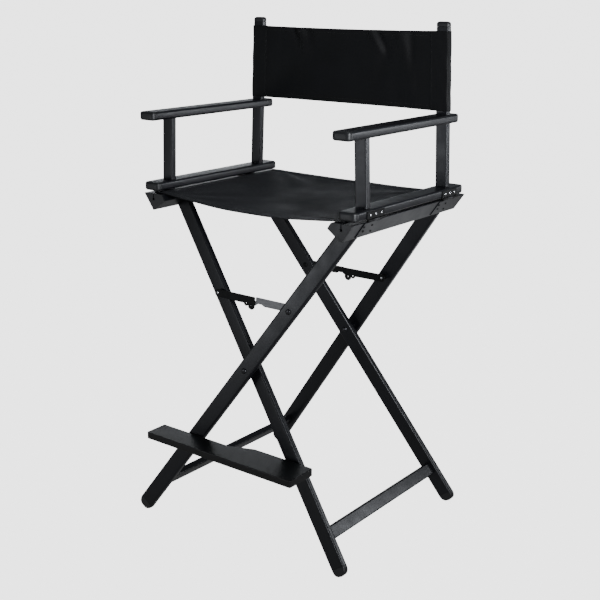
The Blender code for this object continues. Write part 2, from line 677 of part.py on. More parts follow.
# ---------------------------------------------------------------- folding braces
KNEE_OFF = 0.0115               # knee rivet from the middle, towards the lobed link
KNEE_Z = 0.5475
KNEE_DROP = KNEE_Z - BRACE_Z
LINK_T = 0.0016
LINK_END = BRACE_X - 0.0006     # where a link's upper part stops short of the middle
STOP_OFF, STOP_DROP = 0.0145, -0.0092   # small stop hole, from the knee and from the leg rivet
STOP_R = 0.0014
EYELET_R = 0.0024               # hole through the knee
BOSS_R = 0.0058                 # boss between plate and leg
BOSS_SINK = 0.0004              # boss starts this far inside the plate's open face
RIVET_STANDOFF = 0.0010         # boss and rivet head off the leg faces
SHANK_IN_HEAD = 0.0008
SMALL_HEAD_R = 0.0046           # heads on the plates
JOG, JOG_X0, JOG_X1 = 0.0034, 0.0380, 0.0440    # forward step, and where it starts and ends


def link_end(low):
    """The part both links share: round the leg rivet at the origin, then down the seam to low."""
    points = arc(0, -0.0010, 0.0092, 250, 95, 7)
    return points + [(LINK_END - 0.0015, 0.0083), (LINK_END, 0.0068), (LINK_END, low)]


def lobed_outline():
    """Short link: a round lobe at the knee and a smaller one beside it."""
    knee = BRACE_X - KNEE_OFF
    points = link_end(-0.0050)
    points += arc(knee, KNEE_DROP, 0.0097, 32, -158, 14)
    points += arc(knee - STOP_OFF, STOP_DROP, 0.0068, -28, -172, 8)
    return points + [(knee - 0.0245, -0.0103)]


def plain_outline():
    """Long link: stepped up near the seam, with a tongue behind the lobe of the other link."""
    points = link_end(0.0000)
    points += arc(BRACE_X + KNEE_OFF, KNEE_DROP, 0.0066, 88, -75, 8)
    points += [(LINK_END - 0.0060, -0.0065), (LINK_END - 0.0165, -0.0065)]
    return points + [(LINK_END - 0.0235, -0.0103)]


def jog_forward(mesh, direction):
    """Steps the knee end of a link forward; local Z of the plate points to the front."""
    bm = bmesh.new()
    bm.from_mesh(mesh)
    for x in (JOG_X0, JOG_X1):
        bmesh.ops.bisect_plane(
            bm, geom=bm.verts[:] + bm.edges[:] + bm.faces[:],
            plane_co=(direction * x, 0, 0), plane_no=(1, 0, 0), dist=0.000001)
    for v in bm.verts:
        v.co.z += JOG * min(1, max(0, (direction * v.co.x - JOG_X0) / (JOG_X1 - JOG_X0)))
    bm.to_mesh(mesh)
    bm.free()


def join_head(obj, radius, height, x, y, z, out):
    """Joins a rivet head that stands on y and points to the back (out +1) or front (out -1)."""
    sink = 0.0003
    profile = [(0, height)] + dome(radius, height, 0)[-2::-1]
    profile += [(radius * 0.98, -sink), (0, -sink)]
    rotation = ALONG_Y if out < 0 else ALONG_Y_BACK
    join(obj, turned("head", profile, 14, None, None, (x, y, z), rotation))


def leg_y_at_rivet(y_mid):
    """World y of a leg's middle at the brace rivet."""
    return MID_Y + y_mid + leg_splay(y_mid) * BRACE_AT


def brace_link(tag, direction, lobed, leg_y, plate_y, body, mat=STEEL, jogged=False):
    """One stamped link with its shouldered leg rivet.

    direction is the side the knee is on, leg_y the middle of the leg it is riveted to (at the
    pivot, from the middle plane) and plate_y the world y of the plate's front face.
    """
    x, z = -direction * BRACE_X, BRACE_Z
    outline = lobed_outline() if lobed else plain_outline()
    mesh = prism_mesh([[(direction * px, pz) for px, pz in outline]], -LINK_T / 2, LINK_T / 2)
    if jogged:
        jog_forward(mesh, direction)
    link = add(f"brace_link_{tag}", mesh, mat, body, (x, plate_y + LINK_T / 2, z), ALONG_Y)

    # boss from the plate to the leg, shank through the leg, heads at both ends
    leg_mid = leg_y_at_rivet(leg_y)
    toward = 1 if leg_mid > plate_y else -1     # +1 where the leg is behind the plate
    open_face = plate_y if toward > 0 else plate_y + LINK_T
    boss_start = open_face + toward * BOSS_SINK
    boss_end = leg_mid - toward * (LEG.height / 2 + RIVET_STANDOFF)
    head_y = leg_mid + toward * (LEG.height / 2 + RIVET_STANDOFF)
    join(link, cylinder(BOSS_R, *sorted((boss_start, boss_end)), x, z, 16))
    shank = sorted(((boss_start + boss_end) / 2, head_y + toward * SHANK_IN_HEAD))
    join(link, cylinder(RIVET_R, *shank, x, z, 16))
    join_head(link, 0.0062, 0.0022, x, head_y, z, toward)
    join_head(link, SMALL_HEAD_R, 0.0014, x, open_face, z, -toward)

    knee_x = x + direction * (BRACE_X - KNEE_OFF if lobed else BRACE_X + KNEE_OFF)
    hole_y = plate_y - 0.01, plate_y + 0.01
    if lobed:
        join_head(link, SMALL_HEAD_R, 0.0016, knee_x, plate_y, KNEE_Z, -1)
        cut(link, cylinder(STOP_R, *hole_y, knee_x - direction * STOP_OFF, z + STOP_DROP, 12))
    # the knee rivet is a hollow eyelet
    cut(link, cylinder(EYELET_R, *hole_y, knee_x, KNEE_Z, 16))


# outward faces of the B legs at the rivet
front_face = leg_y_at_rivet(FRONT_B_Y) - LEG.height / 2
rear_face = leg_y_at_rivet(-FRONT_B_Y) + LEG.height / 2
brace_link("front_left", 1, True, FRONT_B_Y, front_face - 0.0081, FRAME_B)
brace_link("front_right", -1, False, FRONT_A_Y, front_face - 0.0056, FRAME_A, mat=GREY_STEEL)
brace_link("rear_right", -1, True, -FRONT_A_Y, rear_face - 0.0026, FRAME_A)
brace_link("rear_left", 1, False, -FRONT_B_Y, rear_face + 0.0029, FRAME_B, jogged=True)

# ---------------------------------------------------------------- footrest
STEP_X0, STEP_X1 = -0.2280, 0.1980
STEP_Z0, STEP_Z1 = 0.2118, 0.2283
# Y values are from the middle plane
STEP_FRONT = -0.3010
STEP_BACK_L, STEP_BACK_R = -0.2427, -0.2195
STEP_JOG_X0, STEP_JOG_X1 = -0.0260, 0.0340     # where the back edge slants
STEP_RADII = (0.003, 0.004, 0.006, 0.006, 0.006, 0.003)
STEP_PIN_Z, STEP_PIN_R = 0.2200, 0.0030
STEP_PIN_X = (PIVOT_Z - STEP_PIN_Z) * SIN / COS     # on the middle line of a B leg
BOARD_BORE, PIN_IN_BOARD = 0.0220, 0.0210
LEG_BORE, PIN_IN_LEG = 0.0070, 0.0060


def step_bore(y0, y1):
    return cylinder(STEP_PIN_R + PIN_CLEARANCE, y0, y1, STEP_PIN_X, STEP_PIN_Z, 20)


def footrest():
    """Board in front of the legs, on a pin in the front B leg."""
    at = (STEP_PIN_X, MID_Y, STEP_PIN_Z)
    axis = empty("axis_footrest", at, FRAME_B)
    corners = [
        (STEP_X0, STEP_FRONT), (STEP_X1, STEP_FRONT), (STEP_X1, STEP_BACK_R),
        (STEP_JOG_X1, STEP_BACK_R), (STEP_JOG_X0, STEP_BACK_L), (STEP_X0, STEP_BACK_L),
    ]
    outline = [(x - STEP_PIN_X, y) for x, y in round_corners(corners, STEP_RADII)]
    mesh = prism_mesh([outline], STEP_Z0 - STEP_PIN_Z, STEP_Z1 - STEP_PIN_Z)
    board = add("footrest_board", mesh, BOARD, axis, at)
    bevel = board.modifiers.new("edge", "BEVEL")
    bevel.width = 0.0012
    bevel.segments = 2
    bevel.limit_method = "ANGLE"
    bevel.angle_limit = math.radians(50)
    board_back = MID_Y + STEP_BACK_R
    cut(board, step_bore(board_back - BOARD_BORE, board_back + 0.01))

    leg_drop = (PIVOT_Z - STEP_PIN_Z) / COS
    leg_front = MID_Y + FRONT_B_Y - LEG.height / 2 - SPLAY * leg_drop
    cut(front_leg_b, step_bore(leg_front - 0.01, leg_front + LEG_BORE))
    pin_front, pin_back = board_back - PIN_IN_BOARD, leg_front + PIN_IN_LEG
    half = (pin_back - pin_front) / 2
    rod("footrest_pivot_pin", STEP_PIN_R, half, half, 20, STEEL, axis,
        (STEP_PIN_X, (pin_front + pin_back) / 2, STEP_PIN_Z))


footrest()

# ---------------------------------------------------------------- canvas seat
SEAT_SAG = 0.0150
SEAT_STEPS = 9                  # segments from the rail to the middle
SEAT_FLAT = 0.0220              # flat run from the slit inwards
SEAT_OVER_CORD = 0.0004         # cloth's end above the cord, besides the gap


def seat_outline():
    """Section: up out of one slit, over the rail, sagging across, and down the other slit."""
    half = CLOTH / 2
    top = RAIL_TOP + GAP + half
    inner = SLOT_X - SEAT_FLAT
    path = [
        (SLOT_X, CORD_Z + CORD_R + GAP + SEAT_OVER_CORD),
        (SLOT_X, top - half), (SLOT_X - half, top), (inner, top),
    ]
    for i in range(1, SEAT_STEPS + 1):
        x = inner * (1 - i / SEAT_STEPS)
        path.append((x, top - SEAT_SAG * (1 - (x / inner) ** 2)))
    path += [(-x, z) for x, z in reversed(path[:-1])]
    lower, upper = [], []
    for i, (x, z) in enumerate(path):
        before = Vector(path[max(i - 1, 0)])
        after = Vector(path[min(i + 1, len(path) - 1)])
        along = (after - before).normalized()
        normal = Vector((-along.y, along.x)) * half
        lower.append((x + normal.x, z + normal.y))
        upper.append((x - normal.x, z - normal.y))
    return lower + upper[::-1]


def seat_canvas():
    half = (SEAT_Y1 - SEAT_Y0) / 2
    mesh = prism_mesh([seat_outline()], -half, half)
    mid = MID_Y + (SEAT_Y0 + SEAT_Y1) / 2
    add("seat_canvas", mesh, CANVAS, FRAME_A, (0, mid, 0), ALONG_Y)


seat_canvas()

# ---------------------------------------------------------------- canvas back
BACK_Z0, BACK_Z1 = 0.9685, 1.1400


def back_canvas():
    """A panel between two sleeves over the rear posts; it narrows upwards with their lean."""
    post = post_x(1, BACK_Z0)
    around = 2 * GAP + 2 * CLOTH
    width, height = POST.width + around, POST.height + around
    sleeve = [(post + x, y) for x, y in rounded_rect(width, height, POST.radius + CLOTH)]
    # clockwise round the sleeve, from its inner side above the panel to below the panel
    middle = len(sleeve) // 2
    sleeve = sleeve[:middle][::-1] + sleeve[middle:][::-1]
    inner_x = post - width / 2
    right = [(inner_x, CLOTH / 2)] + sleeve + [(inner_x, -CLOTH / 2)]
    outline = right + [(-x, y) for x, y in reversed(right)]
    holes = [[(side * (post + x), y) for x, y in post_opening()] for side in (1, -1)]
    mesh = prism_mesh([outline] + holes, 0, BACK_Z1 - BACK_Z0)
    # the sleeves follow the posts; between them the shift fades to none at the middle
    full = post - POST.width / 2 - GAP
    for v in mesh.vertices:
        v.co.x -= LEAN * v.co.z * max(-1.0, min(1.0, v.co.x / full))
    add("back_canvas", mesh, CANVAS, RIGHT_ARM, (0, MID_Y + POST_Y, BACK_Z0))


back_canvas()
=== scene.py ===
"""A folding canvas chair with a footrest board: finishes on the CAD pieces, a cloth seat and
back with stitching, and small screw and rivet heads, on a white studio floor.

X runs across the chair (right is +X), the front faces -Y, and Z is up. The chair stands open,
its side frames mirrored about x = 0 and its depth centred on MID_Y.
"""

import json
import math

import bmesh
import bpy
import numpy as np
from mathutils import Matrix, Vector

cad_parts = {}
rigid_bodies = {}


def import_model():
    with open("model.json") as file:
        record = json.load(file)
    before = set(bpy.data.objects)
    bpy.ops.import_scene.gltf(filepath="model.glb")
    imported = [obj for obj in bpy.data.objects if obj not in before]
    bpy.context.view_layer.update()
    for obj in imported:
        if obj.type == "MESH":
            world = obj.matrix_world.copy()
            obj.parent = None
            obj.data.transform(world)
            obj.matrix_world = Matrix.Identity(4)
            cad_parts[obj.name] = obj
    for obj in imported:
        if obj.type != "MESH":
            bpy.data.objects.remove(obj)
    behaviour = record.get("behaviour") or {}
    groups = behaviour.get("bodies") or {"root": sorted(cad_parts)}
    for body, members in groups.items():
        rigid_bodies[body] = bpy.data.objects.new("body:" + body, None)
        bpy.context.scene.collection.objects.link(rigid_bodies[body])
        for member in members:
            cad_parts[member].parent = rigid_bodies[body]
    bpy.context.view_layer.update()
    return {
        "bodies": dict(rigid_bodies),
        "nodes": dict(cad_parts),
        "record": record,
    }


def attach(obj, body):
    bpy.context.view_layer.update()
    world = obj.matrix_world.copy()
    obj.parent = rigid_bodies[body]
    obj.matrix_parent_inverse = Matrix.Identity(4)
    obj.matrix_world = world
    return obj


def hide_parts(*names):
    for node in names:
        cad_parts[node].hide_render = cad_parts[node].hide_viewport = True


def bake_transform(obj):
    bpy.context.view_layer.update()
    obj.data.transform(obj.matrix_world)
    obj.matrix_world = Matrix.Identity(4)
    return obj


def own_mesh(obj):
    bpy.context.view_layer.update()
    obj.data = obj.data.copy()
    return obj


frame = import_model()
NODES = frame["nodes"]
SLOT_OF = {row["node"]: row["material_slot"] for row in frame["record"]["subparts"]}

# ------------------------------------------------------------ shared dimensions
MID_Y = 0.0172
RAIL_TOP = 0.7770
# back posts: centre x at height POST_LOW_Z, and inward lean per metre of height
POST_LOW_X, POST_LOW_Z, POST_LEAN = 0.2720, 0.7700, 0.0375
POST_W, POST_T = 0.0300, 0.0150
POST_MID_Y = MID_Y + 0.1580


def post_x(z):
    """Distance of a back post's centre from x = 0 at height z."""
    return POST_LOW_X - POST_LEAN * (z - POST_LOW_Z)


# ------------------------------------------------------------------ node helpers
def add_node(tree, kind, inputs=None, **settings):
    """Add a node. Inputs map a socket's name or index to a value, a colour or a linked socket."""
    made = tree.nodes.new(kind)
    for key, value in settings.items():
        setattr(made, key, value)
    for key, value in (inputs or {}).items():
        if value is not None:
            feed(tree, made.inputs[key], value)
    return made


def feed(tree, socket, value):
    """Link a socket to another, or give it a number, vector or RGB colour."""
    if isinstance(value, bpy.types.NodeSocket):
        tree.links.new(value, socket)
    elif socket.type == "RGBA":
        socket.default_value = (*value, 1.0)
    else:
        socket.default_value = value


class Shader:
    """A new material, with short methods that chain its shader nodes."""

    def __init__(self, name):
        self.material = bpy.data.materials.new(name)
        self.material.use_nodes = True
        self.tree = self.material.node_tree
        self.bsdf = self.tree.nodes["Principled BSDF"]
        self.coords = self.node("ShaderNodeTexCoord").outputs

    def node(self, kind, inputs=None, **settings):
        return add_node(self.tree, kind, inputs, **settings)

    def set(self, **values):
        """Set or link inputs of the Principled node, with _ for each space in a name."""
        for key, value in values.items():
            feed(self.tree, self.bsdf.inputs[key.replace("_", " ")], value)

    def math(self, operation, a, b=None, clamp=False):
        made = self.node("ShaderNodeMath", {0: a, 1: b}, operation=operation, use_clamp=clamp)
        return made.outputs[0]

    def noise(self, scale, detail=2.0, roughness=0.5, vector=None):
        """Noise in object coordinates unless another vector is given."""
        return self.node("ShaderNodeTexNoise", {
            "Scale": scale, "Detail": detail, "Roughness": roughness,
            "Vector": vector or self.coords["Object"],
        }).outputs["Fac"]

    def streaks(self, scale, vector):
        """Noise stretched by a different scale along each axis."""
        mapping = self.node("ShaderNodeMapping", {"Scale": scale, "Vector": vector})
        return self.noise(1.0, detail=3.0, roughness=0.6, vector=mapping.outputs["Vector"])

    def ramp(self, value, across, to=(0.0, 1.0)):
        """Map the range `across` onto the range `to`."""
        return self.node("ShaderNodeMapRange", {
            "From Min": across[0], "From Max": across[1],
            "To Min": to[0], "To Max": to[1], "Value": value,
        }).outputs["Result"]

    def mix(self, factor, a, b):
        made = self.node("ShaderNodeMix", {0: factor, 6: a, 7: b}, data_type="RGBA")
        return made.outputs[2]

    def bump(self, height, strength, distance, normal=None):
        return self.node("ShaderNodeBump", {
            "Strength": strength, "Distance": distance, "Height": height, "Normal": normal,
        }).outputs["Normal"]

    def mottle(self, dark, light, scale, detail, roughness=0.5):
        """Large soft clouds between two colours."""
        cloud = self.noise(scale, detail, roughness)
        return self.mix(self.ramp(cloud, across=(0.35, 0.65)), dark, light)

    def patchy(self, scale, to):
        """A value that wanders in patches within the range `to`."""
        return self.ramp(self.noise(scale, detail=3.0), across=(0.3, 0.7), to=to)

    def worn_and_highlit_edges(self, tone, edge_wear_and_highlight, radius, gain, patches, across, amount):
        """Blend towards a lighter colour on sharp edges, broken up by patches of noise: partly
        edge wear, partly a painted highlight along the edges.
        """
        bevel = self.node("ShaderNodeBevel", {"Radius": radius}, samples=6)
        geometry = self.node("ShaderNodeNewGeometry")
        dot = self.node("ShaderNodeVectorMath", {
            0: bevel.outputs["Normal"], 1: geometry.outputs["Normal"],
        }, operation="DOT_PRODUCT")
        bend = self.math("SUBTRACT", 1.0, dot.outputs["Value"])
        edge = self.math("MULTIPLY", bend, gain, clamp=True)
        broken = self.ramp(patches, across, to=(0.0, amount))
        return self.mix(self.math("MULTIPLY", edge, broken), tone, edge_wear_and_highlight)


# --------------------------------------------------------------------- materials
def powder_coat():
    """Satin powder coat: fine orange peel and sparkle, and lighter edges that are partly wear and
    partly a painted highlight.
    """
    s = Shader("visual_powder_coat")
    tone = s.mottle((0.0062, 0.0065, 0.0084), (0.0100, 0.0104, 0.0132),
                    scale=7.0, detail=4.0, roughness=0.6)
    grain = s.noise(scale=2600.0, detail=2.0, roughness=0.7)
    sparkle = s.ramp(grain, across=(0.60, 0.78), to=(0, 0.55))
    tone = s.mix(sparkle, tone, (0.034, 0.035, 0.042))
    # lighter edges: partly wear, partly a painted highlight along them
    tone = s.worn_and_highlit_edges(tone, edge_wear_and_highlight=(0.030, 0.031, 0.037), radius=0.0010, gain=1.4,
                        patches=s.noise(scale=55.0, detail=5.0, roughness=0.7),
                        across=(0.50, 0.66), amount=0.45)
    s.set(Base_Color=tone, Roughness=s.patchy(scale=30.0, to=(0.30, 0.38)),
          Metallic=0.30, Specular_IOR_Level=0.55)
    peel = s.bump(s.noise(scale=420.0), strength=0.10, distance=0.0004)
    s.set(Normal=s.bump(grain, strength=0.10, distance=0.00010, normal=peel))
    return s.material


def moulded_plastic():
    """Moulded black plastic with a fine spark-eroded texture."""
    s = Shader("visual_moulded_plastic")
    tone = s.mottle((0.0052, 0.0054, 0.0066), (0.0084, 0.0087, 0.0104), scale=14.0, detail=3.0)
    s.set(Base_Color=tone, Roughness=s.patchy(scale=60.0, to=(0.40, 0.48)),
          Specular_IOR_Level=0.6,
          Normal=s.bump(s.noise(scale=1500.0), strength=0.10, distance=0.00015))
    return s.material


def painted_steel():
    """Black painted stampings."""
    s = Shader("visual_painted_steel")
    tone = s.mottle((0.0012, 0.0012, 0.0014), (0.0026, 0.0026, 0.0029), scale=25.0, detail=3.0)
    # lighter edges: partly wear, partly a painted highlight along them
    tone = s.worn_and_highlit_edges(tone, edge_wear_and_highlight=(0.014, 0.014, 0.015), radius=0.0006, gain=1.2,
                        patches=s.noise(scale=120.0, detail=4.0),
                        across=(0.5, 0.62), amount=0.3)
    s.set(Base_Color=tone, Roughness=s.patchy(scale=80.0, to=(0.46, 0.60)),
          Specular_IOR_Level=0.22,
          Normal=s.bump(s.noise(scale=700.0), strength=0.08, distance=0.0002))
    return s.material


def plated_steel(name, dark, light, rough):
    """Plated steel with fine rolling marks, `rough` being its lowest roughness."""
    s = Shader(name)
    marks = s.streaks(scale=(60.0, 60.0, 2600.0), vector=s.coords["Object"])
    s.set(Base_Color=s.mix(s.ramp(marks, across=(0.3, 0.7)), dark, light),
          Roughness=s.patchy(scale=90.0, to=(rough, rough + 0.12)), Metallic=1.0,
          Normal=s.bump(marks, strength=0.05, distance=0.0002))
    return s.material


def board_finish():
    """Matte black textured board with lighter edges, partly worn and partly a painted highlight.
    """
    s = Shader("visual_board")
    grain = s.noise(scale=900.0, detail=4.0, roughness=0.65)
    tone = s.mottle((0.0030, 0.0030, 0.0034), (0.0052, 0.0052, 0.0058),
                    scale=9.0, detail=4.0, roughness=0.6)
    speckle = s.ramp(grain, across=(0.62, 0.80), to=(0, 0.3))
    tone = s.mix(speckle, tone, (0.014, 0.014, 0.016))
    tone = s.worn_and_highlit_edges(tone, edge_wear_and_highlight=(0.022, 0.022, 0.024), radius=0.0012, gain=1.4,
                        patches=s.noise(scale=45.0, detail=4.0),
                        across=(0.45, 0.64), amount=0.6)
    s.set(Base_Color=tone, Roughness=s.patchy(scale=20.0, to=(0.30, 0.40)),
          Specular_IOR_Level=0.42, Normal=s.bump(grain, strength=0.22, distance=0.00025))
    return s.material


def canvas():
    """Plain-woven black canvas: thread relief laid out in UV metres, slubs, sheen, lighter thread
    tops and patches of painted sheen.
    """
    weave_pitch = 0.00090
    wander = 0.0009  # how far the threads stray from straight
    s = Shader("visual_canvas")
    cloth = s.coords["UV"]
    split = s.node("ShaderNodeSeparateXYZ", {0: cloth}).outputs
    stray = s.noise(scale=70.0, detail=3.0, roughness=0.6, vector=cloth)
    wobble = s.math("MULTIPLY", s.math("SUBTRACT", stray, 0.5), wander)

    def rib(phase):
        half = s.math("MULTIPLY", phase, 0.5)
        return s.math("ABSOLUTE", s.math("SINE", half))

    turns = 2 * math.pi / weave_pitch
    u = s.math("MULTIPLY", s.math("ADD", split["X"], wobble), turns)
    v = s.math("MULTIPLY", s.math("SUBTRACT", split["Y"], wobble), turns)
    over = s.math("MULTIPLY", s.math("SINE", u), s.math("SINE", v))
    ribs = s.math("ADD", rib(u), rib(v))
    # relief: half from the over-and-under, the rest from the round threads
    height = s.math("ADD", s.math("MULTIPLY", over, 0.5), s.math("MULTIPLY", ribs, 0.35))

    slubs = s.streaks(scale=(18.0, 900.0, 1.0), vector=cloth)
    tone = s.mix(s.ramp(slubs, across=(0.35, 0.68)),
                 (0.0009, 0.0009, 0.0012), (0.0019, 0.0019, 0.0024))
    thread_tops = s.ramp(height, across=(0.3, 1.1), to=(0, 0.5))
    tone = s.mix(thread_tops, tone, (0.0032, 0.0032, 0.0037))
    # lighter soft patches across the cloth: a painted sheen
    painted_sheen_patches = s.ramp(s.noise(scale=9.0, detail=4.0, roughness=0.6, vector=cloth),
                   across=(0.42, 0.66), to=(0, 0.7))
    tone = s.mix(painted_sheen_patches, tone, (0.0032, 0.0032, 0.0040))
    patches = s.noise(scale=7.0, detail=3.0, vector=cloth)
    s.set(Base_Color=tone, Roughness=s.ramp(patches, across=(0.35, 0.65), to=(0.52, 0.72)),
          Specular_IOR_Level=0.20, Sheen_Weight=0.05, Sheen_Roughness=0.55,
          Sheen_Tint=(0.55, 0.57, 0.62))
    weave = s.bump(height, strength=0.35, distance=0.00018)
    creases = s.noise(scale=160.0, detail=4.0, roughness=0.6, vector=cloth)
    s.set(Normal=s.bump(creases, strength=0.12, distance=0.0006, normal=weave))
    return s.material


def thread_finish():
    """Black sewing thread."""
    s = Shader("visual_thread")
    fleck = s.ramp(s.noise(scale=1800.0), across=(0.4, 0.6))
    s.set(Base_Color=s.mix(fleck, (0.0014, 0.0014, 0.0016), (0.0036, 0.0036, 0.0040)),
          Roughness=0.75, Sheen_Weight=0.05,
          Normal=s.bump(s.noise(scale=3000.0), strength=0.4, distance=0.0002))
    return s.material


COAT = powder_coat()
PLASTIC = moulded_plastic()
BLACK_STEEL = painted_steel()
BRIGHT = plated_steel("visual_bright_steel", dark=(0.55, 0.56, 0.58),
                      light=(0.82, 0.83, 0.85), rough=0.16)
# grey plated steel for the front brace link: a painted reflection on a link that is black like the
# rear one
REFLECTING_GREY = plated_steel("visual_grey_steel_painted_reflection", dark=(0.16, 0.16, 0.168),
                    light=(0.30, 0.30, 0.31), rough=0.32)
DARK_STEEL = plated_steel("visual_dark_steel", dark=(0.040, 0.040, 0.044),
                          light=(0.080, 0.080, 0.086), rough=0.24)
BOARD = board_finish()
CANVAS = canvas()
THREAD = thread_finish()

FINISH = {
    "black_powder_coat": COAT,
    "black_plastic": PLASTIC,
    "black_steel": BLACK_STEEL,
    "grey_steel": REFLECTING_GREY,
    "footrest_board": BOARD,
    "black_canvas": CANVAS,
}


# -------------------------------------------------------------------- CAD pieces
EDGE_BEVEL, BOARD_BEVEL = 0.0005, 0.0010
SMALL_PARTS = ("hinge", "brace", "scissor", "seat_edge")  # left without a bevel


def modify(obj, name, kind, **settings):
    modifier = obj.modifiers.new(name, kind)
    for key, value in settings.items():
        setattr(modifier, key, value)


def dress(node, material, bevel):
    """Finish, softened edges and smooth shading on a CAD node, without touching its vertices."""
    obj = NODES[node]
    mesh = obj.data
    mesh.materials.clear()
    mesh.materials.append(material)
    for polygon in mesh.polygons:
        polygon.use_smooth = True
        polygon.material_index = 0
    if mesh.has_custom_normals and "custom_normal" in mesh.attributes:
        mesh.attributes.remove(mesh.attributes["custom_normal"])
    modify(obj, "weld", "WELD", merge_threshold=0.00002)
    if bevel:
        modify(obj, "soft_edge", "BEVEL", width=bevel, segments=2,
               limit_method="ANGLE", angle_limit=math.radians(38))
    modify(obj, "split", "EDGE_SPLIT", split_angle=math.radians(50))
    modify(obj, "flat_faces", "WEIGHTED_NORMAL", mode="FACE_AREA", weight=92)


for name in NODES:
    if name.endswith("canvas"):
        continue
    material = FINISH[SLOT_OF[name]]
    if name.startswith("hinge_lower_leaf"):
        material = COAT
    if name.startswith("scissor_bolt"):
        material = DARK_STEEL
    bevel = BOARD_BEVEL if name == "footrest_board" else EDGE_BEVEL
    dress(name, material, 0.0 if name.startswith(SMALL_PARTS) else bevel)


# ------------------------------------------------------------------ mesh helpers
def add_object(name, mesh, material):
    """Put a smooth-shaded mesh in the scene."""
    mesh.materials.append(material)
    for polygon in mesh.polygons:
        polygon.use_smooth = True
    obj = bpy.data.objects.new(name, mesh)
    bpy.context.scene.collection.objects.link(obj)
    return obj


def new_piece(name, verts, faces, material, uvs=None):
    mesh = bpy.data.meshes.new(name)
    mesh.from_pydata([tuple(map(float, v)) for v in verts], [], faces)
    if uvs is not None:
        layer = mesh.uv_layers.new(name="UVMap")
        for loop in mesh.loops:
            layer.data[loop.index].uv = uvs[loop.vertex_index]
    obj = add_object(name, mesh, material)
    mesh.update()
    return obj


def cloth_piece(name, points, uv, thickness):
    """Canvas whose middle surface is a (rows, columns, 3) array of points."""
    rows, cols = points.shape[:2]
    faces = [
        (r * cols + c, r * cols + c + 1, (r + 1) * cols + c + 1, (r + 1) * cols + c)
        for r in range(rows - 1) for c in range(cols - 1)
    ]
    obj = new_piece(name, points.reshape(-1, 3), faces, CANVAS, uv.reshape(-1, 2))
    modify(obj, "thickness", "SOLIDIFY", thickness=thickness, offset=0.0)
    modify(obj, "edge", "BEVEL", width=thickness * 0.28, segments=2,
           limit_method="ANGLE", angle_limit=math.radians(60))
    return obj


def travelled(points):
    """Distance along a polyline at each of its points."""
    steps = np.linalg.norm(np.diff(points, axis=0), axis=1)
    return np.concatenate([[0], np.cumsum(steps)])


STITCH_PITCH, STITCH_LENGTH, STITCH_RADIUS = 0.0036, 0.0025, 0.00030
STITCH_MARGIN = 0.001  # left bare at each end of a line
STITCH_SIDES = 6
# rings of a stitch: place along it in lengths, radius and lift off the cloth in radii
STITCH_RINGS = (
    (-0.5, 0.25, -0.55), (-0.36, 0.85, -0.1), (0.0, 1.0, 0.15),
    (0.36, 0.85, -0.1), (0.5, 0.25, -0.55),
)


def stitch_piece(name, lines):
    """Sewing stitches as small capsules. Each line is (points on the cloth, outward normal)."""
    verts, faces = [], []
    sides = range(STITCH_SIDES)
    last = (len(STITCH_RINGS) - 1) * STITCH_SIDES
    for points, normal in lines:
        points, normal = np.array(points, float), np.array(normal, float)
        travel = travelled(points)

        def point_at(distance):
            return np.array([np.interp(distance, travel, points[:, i]) for i in range(3)])

        for k in range(int((travel[-1] - 2 * STITCH_MARGIN) / STITCH_PITCH)):
            middle = STITCH_MARGIN + (k + 0.5) * STITCH_PITCH
            centre = point_at(middle)
            along = point_at(min(middle + STITCH_LENGTH / 2, travel[-1])) - centre
            along /= np.linalg.norm(along)
            sideways = np.cross(along, normal)
            base = len(verts)
            for place, swell, lift in STITCH_RINGS:
                for a in sides:
                    angle = 2 * math.pi * a / STITCH_SIDES
                    across = math.cos(angle) * STITCH_RADIUS * swell
                    rise = math.sin(angle) * STITCH_RADIUS * swell + lift * STITCH_RADIUS
                    verts.append(centre + along * (place * STITCH_LENGTH)
                                 + sideways * across + normal * rise)
            for start in range(base, base + last, STITCH_SIDES):
                for a in sides:
                    b = (a + 1) % STITCH_SIDES
                    faces.append((start + a, start + b,
                                  start + STITCH_SIDES + b, start + STITCH_SIDES + a))
            faces.append(tuple(base + a for a in reversed(sides)))
            faces.append(tuple(base + last + a for a in sides))
    return new_piece(name, verts, faces, THREAD)


def smoothstep(x):
    x = np.clip(x, 0, 1)
    return x * x * (3 - 2 * x)


def ripple(x, y, seed):
    """Seeded soft noise: the sum of a few sine waves in random directions, about -1 to 1."""
    waves = 7
    rng = np.random.default_rng(seed)
    total = 0.0
    for _ in range(waves):
        heading = rng.uniform(0, 2 * math.pi)
        frequency = rng.uniform(12, 46)
        phase = rng.uniform(0, 2 * math.pi)
        run = np.cos(heading) * x + np.sin(heading) * y
        total = total + np.sin(run * frequency + phase) / waves
    return total * 1.6


# ------------------------------------------------------------------- seat canvas
SEAT_THICK = 0.0012
SEAT_TOP = RAIL_TOP + 0.0003 + SEAT_THICK / 2  # middle of the cloth over the rails
SEAT_FRONT, SEAT_BACK = MID_Y - 0.2105, MID_Y + 0.2155
SEAT_DEPTH = SEAT_BACK - SEAT_FRONT
SLOT_X = 0.2620  # the cloth turns down into a slot in each side rail
FLAT_X = 0.2395  # the cloth lies flat outside this
SEAT_HEM, HEM_FADE = 0.0165, 0.0025
EDGE_BOW = 0.0030
# pull lines fanning from the corners: side in x, 0 front or 1 back, height, middle angle
PULL_LINES = (
    (-1, 1, 0.0016, 0.65), (1, 0, 0.0012, 0.7), (1, 1, 0.0010, 0.6), (-1, 0, 0.0011, 0.75),
)
# cloth from inside the slot up onto the rail: distance in from SLOT_X, z
SLOT_PATH = (
    (0, 0.7655), (0, 0.7690), (0, 0.7725), (0, 0.7755), (0.0002, 0.7766),
    (0.0009, SEAT_TOP - 0.0001), (0.0030, SEAT_TOP),
)


def seat_y(x, v):
    """y of the cloth, v = 0 at the front edge and 1 at the back; the free edges bow inwards."""
    bow = EDGE_BOW * (1 - (x / SLOT_X) ** 2)
    return SEAT_FRONT + v * SEAT_DEPTH + bow * (1 - 2 * v) ** 3


